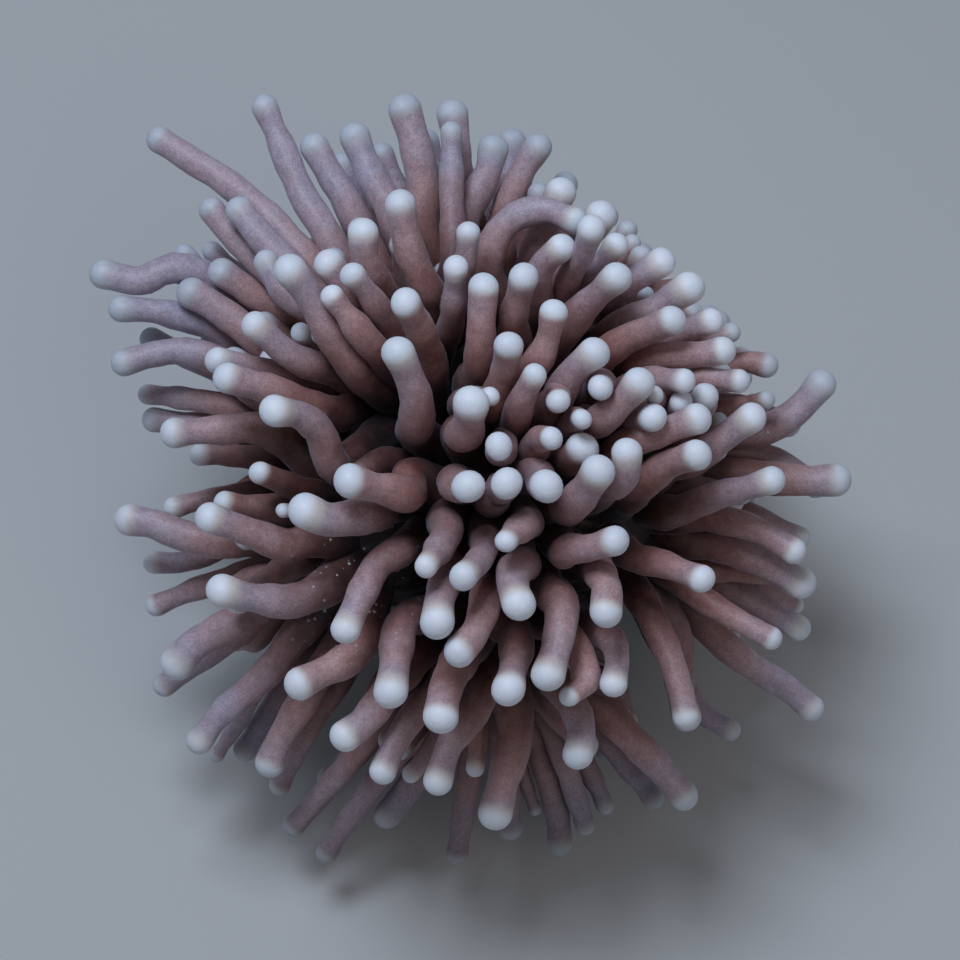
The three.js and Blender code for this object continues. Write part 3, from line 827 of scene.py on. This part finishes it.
def polyp_piece(polyp, crown, finger):
    """A polyp's body and all its tentacles, as one piece."""
    bm = bmesh.new()
    bmesh.ops.create_icosphere(bm, subdivisions=BODY_DETAIL, radius=1)
    ball = np.array([vert.co for vert in bm.verts])
    for _ in crown:
        bm.from_mesh(finger)
    mesh = smooth_mesh(bm, polyp)
    straight = corners_of(finger)
    corners = [body_corners(ball / np.linalg.norm(ball, axis=1, keepdims=True), polyp)]
    followed = {
        "from_top": [np.full(len(ball), FAR_FROM_TOP)],
        "tone": [np.full(len(ball), BODY_TONE)],
        "pale": [np.zeros(len(ball))],
    }
    for number, tentacle in enumerate(crown):
        seed = 1 + number + SEEDS_APART * list(POLYPS).index(polyp)
        places, from_top = bent_finger(straight, tentacle, seed)
        corners.append(places)
        followed["from_top"].append(from_top)
        followed["tone"].append(np.full(len(straight), scatter(seed + 0.9)))
        followed["pale"].append(np.full(len(straight), paleness(tentacle, seed)))
    places = np.concatenate(corners)
    mesh.vertices.foreach_set("co", (places * MM).ravel())
    values = {name: np.concatenate(parts) for name, parts in followed.items()} | place_values(places)
    for name, numbers in values.items():
        layer = mesh.attributes.new(name, "FLOAT", "POINT")
        layer.data.foreach_set("value", numbers.astype(np.float32))
    mesh.update()
    piece = bpy.data.objects.new(polyp.replace("polyp", "crown"), mesh)
    bpy.context.scene.collection.objects.link(piece)
    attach(piece, "root")
    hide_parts(polyp)
    return piece


# The trunk.
TRUNK_SIDES = 288
TRUNK_STEP = 0.8
CUT_RINGS = 12
FLAT = 1e-6  # below this a corner is on the cut, where the ribs fade out towards the middle
CUT_BEVEL = 0.5
FLARE_HEIGHT = 8.0
SEAT_RINGS = 12
SEAT_FROM = 0.25  # where the round head begins, in half turns from its lowest point
SEAT_LOW = CROWN_HEIGHT - SEAT_RADIUS * math.cos(math.pi * SEAT_FROM)
CUT_RIM = 0.985  # the column's girth above the bevel and above the flare, in radii of the cut
FLARED = 0.9
COLUMN_TOP = 0.95  # and below the head, in radii of the neck
FINE_RIBS = 48
FINE_RIB_DEPTH = 0.35
RIB_SWAY = 0.8  # how far the fine ribs wander, in radians of their spacing
RIB_SWAY_LENGTH = 5.0  # millimetres of height to a radian
ROUGH_DEPTH = 0.6
ROUGHNESS = ((0.35, 0.7), (1.6, 0.3))  # each noise's scale and share
GROOVE_SHARE = 0.6  # how much the main ribs count in how deep a corner lies


def trunk_outline():
    """Pairs of radius and height: out along the cut, up the column and over the round head."""
    profile = (
        (CUT_RADIUS, 0),
        (CUT_RADIUS * CUT_RIM, CUT_BEVEL),
        (CUT_RADIUS * FLARED, FLARE_HEIGHT),
        (NECK_RADIUS, NECK_HEIGHT),
        (NECK_RADIUS * COLUMN_TOP, SEAT_LOW - FLARE_HEIGHT),
        (SEAT_RADIUS * math.sin(math.pi * SEAT_FROM), SEAT_LOW),
    )
    cut = [(CUT_RADIUS * ring / CUT_RINGS, 0.0) for ring in range(CUT_RINGS)]
    steps = np.arange(1, SEAT_LOW, TRUNK_STEP)
    heights = np.concatenate(([0, CUT_BEVEL / 2, CUT_BEVEL], steps, [SEAT_LOW]))
    radii = np.interp(heights, [z for _, z in profile], [r for r, _ in profile])
    head = []
    for ring in range(1, SEAT_RINGS):
        angle = math.pi * (SEAT_FROM + (1 - SEAT_FROM) * ring / SEAT_RINGS)
        head.append((SEAT_RADIUS * math.sin(angle), CROWN_HEIGHT - SEAT_RADIUS * math.cos(angle)))
    return [*cut, *zip(radii, heights), *head, (0.0, CROWN_HEIGHT + SEAT_RADIUS)]


def carve_ribs(bm):
    """Draws the column in between its ribs, and keeps how deep each corner lies in a groove."""
    groove = bm.verts.layers.float.new("groove")
    for vert in bm.verts:
        x, y, z = vert.co
        radius = math.hypot(x, y)
        if radius <= 1 or z >= SEAT_LOW:
            continue
        turn = math.atan2(y, x)
        valley = 0.5 - 0.5 * math.cos(RIBS * turn)
        sway = RIB_SWAY * math.sin(z / RIB_SWAY_LENGTH)
        fine_valley = 0.5 - 0.5 * math.cos(FINE_RIBS * turn + sway)
        rough = sum(share * noise.noise(vert.co * scale) for scale, share in ROUGHNESS)
        drawn_in = RIB_DEPTH * valley + FINE_RIB_DEPTH * fine_valley + ROUGH_DEPTH * max(0, rough)
        edge = min(1, radius / CUT_RADIUS) ** 3 if z < FLAT else 1
        keep = 1 - edge * drawn_in / radius
        vert.co.x *= keep
        vert.co.y *= keep
        vert[groove] = GROOVE_SHARE * valley + (1 - GROOVE_SHARE) * fine_valley


def trunk_piece():
    """The ribbed limestone column, flat at the cut and round at the head."""
    bm = turned(trunk_outline(), TRUNK_SIDES, 1e-4)
    carve_ribs(bm)
    bmesh.ops.scale(bm, vec=(MM, MM, MM), verts=bm.verts[:])
    piece = bpy.data.objects.new("limestone_trunk", smooth_mesh(bm, "limestone_trunk"))
    bpy.context.scene.collection.objects.link(piece)
    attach(piece, "root")
    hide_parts("stony_trunk")
    return piece


def add_node(tree, kind, inputs=None, **settings):
    """A node with its settings and its inputs: a socket is linked, and any other value is set."""
    node = tree.nodes.new(kind)
    for name, value in settings.items():
        setattr(node, name, value)
    for name, value in (inputs or {}).items():
        if isinstance(value, bpy.types.NodeSocket):
            tree.links.new(value, node.inputs[name])
        else:
            node.inputs[name].default_value = value
    return node


def calc(tree, operation, *values):
    """A Math node's result."""
    node = add_node(tree, "ShaderNodeMath", dict(enumerate(values)), operation=operation)
    return node.outputs["Value"]


def blend(tree, kind, share, under, over):
    """A Mix node's colour."""
    inputs = {"Factor": share, "A": under, "B": over}
    return add_node(tree, "ShaderNodeMix", inputs, data_type="RGBA", blend_type=kind).outputs["Result"]


def spread(tree, value, low, high, to_low=0.0, to_high=1.0):
    """value eased from to_low to to_high as it goes from low to high."""
    inputs = {"Value": value, "From Min": low, "From Max": high, "To Min": to_low, "To Max": to_high}
    node = add_node(tree, "ShaderNodeMapRange", inputs, interpolation_type="SMOOTHSTEP")
    return node.outputs["Result"]


def ramp(tree, value, stops):
    """A colour that follows value through the stops, each a place and a colour."""
    node = add_node(tree, "ShaderNodeValToRGB", {"Fac": value})
    elements = node.color_ramp.elements
    for element, (place, colour) in zip((elements[0], elements[-1]), (stops[0], stops[-1])):
        element.position = place
        element.color = (*colour, 1)
    for place, colour in stops[1:-1]:
        elements.new(place).color = (*colour, 1)
    return node.outputs["Color"]


def attribute(tree, name):
    return add_node(tree, "ShaderNodeAttribute", attribute_name=name).outputs["Fac"]


def noise_value(tree, place, scale, detail=2.0, roughness=0.5):
    inputs = {"Vector": place, "Scale": scale, "Detail": detail, "Roughness": roughness}
    return add_node(tree, "ShaderNodeTexNoise", inputs).outputs["Fac"]


def new_group(name, inputs, outputs):
    """An empty node group with its sockets, and the nodes that stand for them inside."""
    group = bpy.data.node_groups.new(name, "ShaderNodeTree")
    for socket in inputs:
        group.interface.new_socket(socket, in_out="INPUT", socket_type="NodeSocketFloat")
    for socket in outputs:
        group.interface.new_socket(socket, in_out="OUTPUT", socket_type="NodeSocketFloat")
    given = group.nodes.new("NodeGroupInput").outputs
    made = group.nodes.new("NodeGroupOutput").inputs
    return group, given, made


def grain_group():
    """Fine irregular grain: a shade to multiply a colour by, and a height for bumps."""
    group, given, made = new_group("grain", ("Scale", "Depth"), ("Shade", "Height"))
    place = add_node(group, "ShaderNodeTexCoord").outputs["Object"]
    fine = noise_value(group, place, given["Scale"], 3.0, 0.65)
    darkest = calc(group, "SUBTRACT", 1.0, given["Depth"])
    lightest = calc(group, "ADD", 1.0, given["Depth"])
    group.links.new(spread(group, fine, 0.3, 0.7, darkest, lightest), made["Shade"])
    group.links.new(fine, made["Height"])
    return group


def specks_group():
    """Scattered round specks: a mask that is 1 on them. Size is the largest, as a share of their spacing."""
    group, given, made = new_group("specks", ("Scale", "Size", "Share"), ("Mask",))
    place = add_node(group, "ShaderNodeTexCoord").outputs["Object"]
    cells = add_node(group, "ShaderNodeTexVoronoi", {"Vector": place, "Scale": given["Scale"]})
    random = add_node(group, "ShaderNodeSeparateColor", {"Color": cells.outputs["Color"]}).outputs
    outer = calc(group, "MULTIPLY", given["Size"], calc(group, "MULTIPLY_ADD", random["Green"], 0.8, 0.2))
    dot = spread(group, cells.outputs["Distance"], outer, calc(group, "MULTIPLY", outer, 0.4))
    chosen = calc(group, "LESS_THAN", random["Red"], given["Share"])
    group.links.new(calc(group, "MULTIPLY", dot, chosen), made["Mask"])
    return group


def place_group(tree, group, **values):
    node = tree.nodes.new("ShaderNodeGroup")
    node.node_tree = group
    for name, value in values.items():
        node.inputs[name].default_value = value
    return node.outputs


def new_material(name):
    material = bpy.data.materials.new(name)
    material.use_nodes = True
    tree = material.node_tree
    return material, tree, tree.nodes["Principled BSDF"]


# The flesh, from the roots between the polyps to the outer part of the tentacles. The near-black at the
# roots is partly painted shade of the crevices between the polyps.
SHAFT_COLOURS = (
    (0.0, (0.012, 0.004, 0.003)),
    (0.22, (0.078, 0.027, 0.022)),
    (0.48, (0.27, 0.14, 0.128)),
    (0.75, (0.4, 0.27, 0.275)),
    (1.0, (0.4, 0.34, 0.395)),
)
WARM_TONE = (1.1, 0.96, 0.92)
COOL_TONE = (0.92, 0.98, 1.08)
KNOB_COLOUR = (0.77, 0.8, 0.87)
# partly painted shade: the darker cap of knobs that point away from the eye
SHADED_KNOB_COLOUR = (0.36, 0.435, 0.505)
KNOB_BOUNCE_COLOUR = (0.78, 0.72, 0.64)
GLINT_COLOUR = (0.74, 0.74, 0.78)

# The scales of its patterns, to the metre.
CLOUDS = 170.0
MOTTLES = 620.0
GRAIN = 2600.0
GLINTS = 950.0
GLINT_PATCHES = 90.0

# How far down the knob's white comes, in radii of the knob: all white above the first, and none below the
# second and what tone and clouds add to it.
CAP_FULL = 0.7
CAP_LEAST = 1.15
CAP_TONE = 0.9
CAP_CLOUDS = 0.6
KNOB_EDGE = (0.5, 1.5)  # where it turns cream: painted warm bounce light on the knob's lower part
DULL_COVER = 0.7  # how much of the shaft's colour a dull knob hides
DRIFT = 0.08  # how far the clouds move the shaft's colours


def flesh_material(grain, specks):
    """Soft satin flesh: grainy mauve shafts, red-brown and darker towards the root (partly painted shade),
    and cool white knobs with painted warm bounce light low on them.
    """
    material, tree, skin = new_material("coral_flesh")
    place = add_node(tree, "ShaderNodeTexCoord").outputs["Object"]
    from_top = attribute(tree, "from_top")
    outward = attribute(tree, "outward")
    tone = attribute(tree, "tone")
    pale = attribute(tree, "pale")

    clouds = noise_value(tree, place, CLOUDS)
    drift = spread(tree, clouds, 0.25, 0.75, -DRIFT, DRIFT)
    shaft = ramp(tree, calc(tree, "ADD", outward, drift), SHAFT_COLOURS)
    own_tone = ramp(tree, tone, ((0.0, WARM_TONE), (1.0, COOL_TONE)))
    toned = blend(tree, "MULTIPLY", 1.0, shaft, own_tone)
    mottles = noise_value(tree, place, MOTTLES)
    mottled = blend(tree, "MULTIPLY", 1.0, toned, spread(tree, mottles, 0.3, 0.7, 0.91, 1.09))
    fine = place_group(tree, grain, Scale=GRAIN, Depth=0.2)
    grainy = blend(tree, "MULTIPLY", 1.0, mottled, fine["Shade"])

    # painted highlights: small white glints on the inner shafts, in a few patches on the side that faces the
    # eye
    dots = place_group(tree, specks, Scale=GLINTS, Size=0.45, Share=0.35)["Mask"]
    patches = spread(tree, noise_value(tree, place, GLINT_PATCHES, 1.0), 0.46, 0.56)
    inner = spread(tree, outward, 1.0, 0.7)
    glints = calc(tree, "MULTIPLY", calc(tree, "MULTIPLY", dots, patches), inner)
    glints = calc(tree, "MULTIPLY", glints, attribute(tree, "painted_glint_spots"))
    glinting = blend(tree, "MIX", calc(tree, "MULTIPLY", glints, 0.8), grainy, GLINT_COLOUR + (1,))

    reach = calc(tree, "MULTIPLY_ADD", tone, CAP_TONE, CAP_LEAST)
    edge = calc(tree, "MULTIPLY_ADD", clouds, CAP_CLOUDS, reach)
    cap = spread(tree, from_top, edge, CAP_FULL)
    # painted bounce light: the lower part of each knob turns warm cream
    creamy = spread(tree, from_top, *KNOB_EDGE)
    bright = blend(tree, "MIX", creamy, KNOB_COLOUR + (1,), KNOB_BOUNCE_COLOUR + (1,))
    # partly painted shade: knobs that point away from the eye take the darker cap colour
    knob = blend(tree, "MIX", pale, SHADED_KNOB_COLOUR + (1,), bright)
    cover = calc(tree, "MULTIPLY_ADD", pale, 1 - DULL_COVER, DULL_COVER)
    whitened = blend(tree, "MIX", calc(tree, "MULTIPLY", cap, cover), glinting, knob)
    # painted shade: the colour is darkened where the tentacles hang low
    skin_colour = blend(tree, "MULTIPLY", 1.0, whitened, attribute(tree, "lit"))
    tree.links.new(skin_colour, skin.inputs["Base Color"])

    rough = spread(tree, mottles, 0.3, 0.7, 0.5, 0.62)
    tree.links.new(rough, skin.inputs["Roughness"])
    soft = add_node(tree, "ShaderNodeBump", {"Height": mottles, "Strength": 0.35, "Distance": 0.0004})
    bump = add_node(
        tree,
        "ShaderNodeBump",
        {"Height": fine["Height"], "Normal": soft.outputs["Normal"], "Strength": 0.3, "Distance": 0.0001},
    )
    tree.links.new(bump.outputs["Normal"], skin.inputs["Normal"])
    skin.inputs["Subsurface Weight"].default_value = 0.3
    skin.inputs["Subsurface Radius"].default_value = (1.0, 0.4, 0.3)
    skin.inputs["Subsurface Scale"].default_value = 0.0022
    skin.inputs["Sheen Weight"].default_value = 0.15
    skin.inputs["Sheen Roughness"].default_value = 0.4
    skin.inputs["Sheen Tint"].default_value = (0.8, 0.82, 1.0, 1)
    skin.inputs["Coat Weight"].default_value = 0.05
    skin.inputs["Coat Roughness"].default_value = 0.3
    return material


LIMESTONE_COLOURS = (
    (0.25, (0.62, 0.56, 0.46)),
    (0.55, (0.48, 0.4, 0.3)),
    (0.95, (0.2, 0.14, 0.095)),
)
PORE_COLOUR = (0.09, 0.06, 0.045)
STAINS = 90.0
STONE_GRAIN = 1500.0
PORES = 650.0


def limestone_material(grain, specks):
    """Porous limestone, browner in the grooves between the ribs."""
    material, tree, stone = new_material("limestone")
    place = add_node(tree, "ShaderNodeTexCoord").outputs["Object"]
    groove = attribute(tree, "groove")
    clouds = noise_value(tree, place, STAINS, 4.0, 0.6)
    stained = calc(tree, "MULTIPLY_ADD", clouds, 0.8, calc(tree, "MULTIPLY", groove, 0.55))
    base = ramp(tree, stained, LIMESTONE_COLOURS)
    fine = place_group(tree, grain, Scale=STONE_GRAIN, Depth=0.2)
    grainy = blend(tree, "MULTIPLY", 1.0, base, fine["Shade"])
    pores = place_group(tree, specks, Scale=PORES, Size=0.5, Share=0.6)["Mask"]
    pitted = blend(tree, "MIX", calc(tree, "MULTIPLY", pores, 0.6), grainy, PORE_COLOUR + (1,))
    tree.links.new(pitted, stone.inputs["Base Color"])
    height = calc(tree, "SUBTRACT", fine["Height"], pores)
    bump = add_node(tree, "ShaderNodeBump", {"Height": height, "Strength": 0.6, "Distance": 0.0004})
    tree.links.new(bump.outputs["Normal"], stone.inputs["Normal"])
    stone.inputs["Roughness"].default_value = 0.88
    return material


def plain_material(name, colour):
    material, _, shader = new_material(name)
    shader.inputs["Base Color"].default_value = (*colour, 1)
    shader.inputs["Roughness"].default_value = 0.85
    return material


FLOOR_SIZE = 3.0
FLOOR_COLOUR = (0.5, 0.5, 0.5)
FLOOR_GAP = 0.0002  # keeps the floor and the cut from flickering through each other


def floor():
    bm = bmesh.new()
    bmesh.ops.create_grid(bm, x_segments=1, y_segments=1, size=FLOOR_SIZE)
    ground = bpy.data.objects.new("floor", smooth_mesh(bm, "floor"))
    ground.location.z = -FLOOR_GAP
    ground.data.materials.append(plain_material("pale_floor", FLOOR_COLOUR))
    bpy.context.scene.collection.objects.link(ground)


def soft_light(name, place, aim, size, power, colour):
    light = bpy.data.lights.new(name, "AREA")
    light.size = size
    light.energy = power
    light.color = colour
    lamp = bpy.data.objects.new(name, light)
    lamp.location = place
    lamp.rotation_euler = (Vector(aim) - Vector(place)).to_track_quat("-Z", "Y").to_euler()
    bpy.context.scene.collection.objects.link(lamp)


# Each light's place from the middle of the crown in metres, its size, power and colour.
LIGHTS = {
    "window": ((-0.17, 0.06, 0.82), 0.3, 4.6, (0.74, 0.85, 1.0)),
    "lamp": ((0.3, -0.45, 0.7), 0.5, 0.9, (1.0, 0.92, 0.86)),
}
SKY_COLOUR = (0.6, 0.68, 0.8)
SKY_STRENGTH = 0.19


def lights():
    crown = Vector(CENTRE * MM)
    for name, (place, size, power, colour) in LIGHTS.items():
        soft_light(name, crown + Vector(place), crown, size, power, colour)
    world = bpy.data.worlds.new("studio")
    world.use_nodes = True
    sky = world.node_tree.nodes["Background"].inputs
    sky["Color"].default_value = (*SKY_COLOUR, 1)
    sky["Strength"].default_value = SKY_STRENGTH
    bpy.context.scene.world = world
    bpy.context.scene.view_settings.view_transform = "Standard"


def camera():
    eye = bpy.data.cameras.new("eye")
    eye.sensor_width = SENSOR_WIDTH
    eye.lens = SENSOR_WIDTH * VIEW_DISTANCE / PICTURE_WIDTH
    seat = bpy.data.objects.new("eye", eye)
    place = CENTRE + ACROSS * PICTURE_SHIFT[0] + UP * PICTURE_SHIFT[1] + NEAR * VIEW_DISTANCE
    turn = Matrix((ACROSS, UP, NEAR)).transposed().to_4x4()
    seat.matrix_world = Matrix.Translation(Vector(place * MM)) @ turn
    bpy.context.scene.collection.objects.link(seat)
    bpy.context.scene.camera = seat


camera()
lights()
floor()
finger = finger_mesh()
grain = grain_group()
specks = specks_group()
flesh = flesh_material(grain, specks)
tentacles = grown_tentacles()
for polyp in POLYPS:
    crown = [t for t in tentacles if t.polyp == polyp]
    polyp_piece(polyp, crown, finger).data.materials.append(flesh)
trunk_piece().data.materials.append(limestone_material(grain, specks))
bpy.data.meshes.remove(finger)
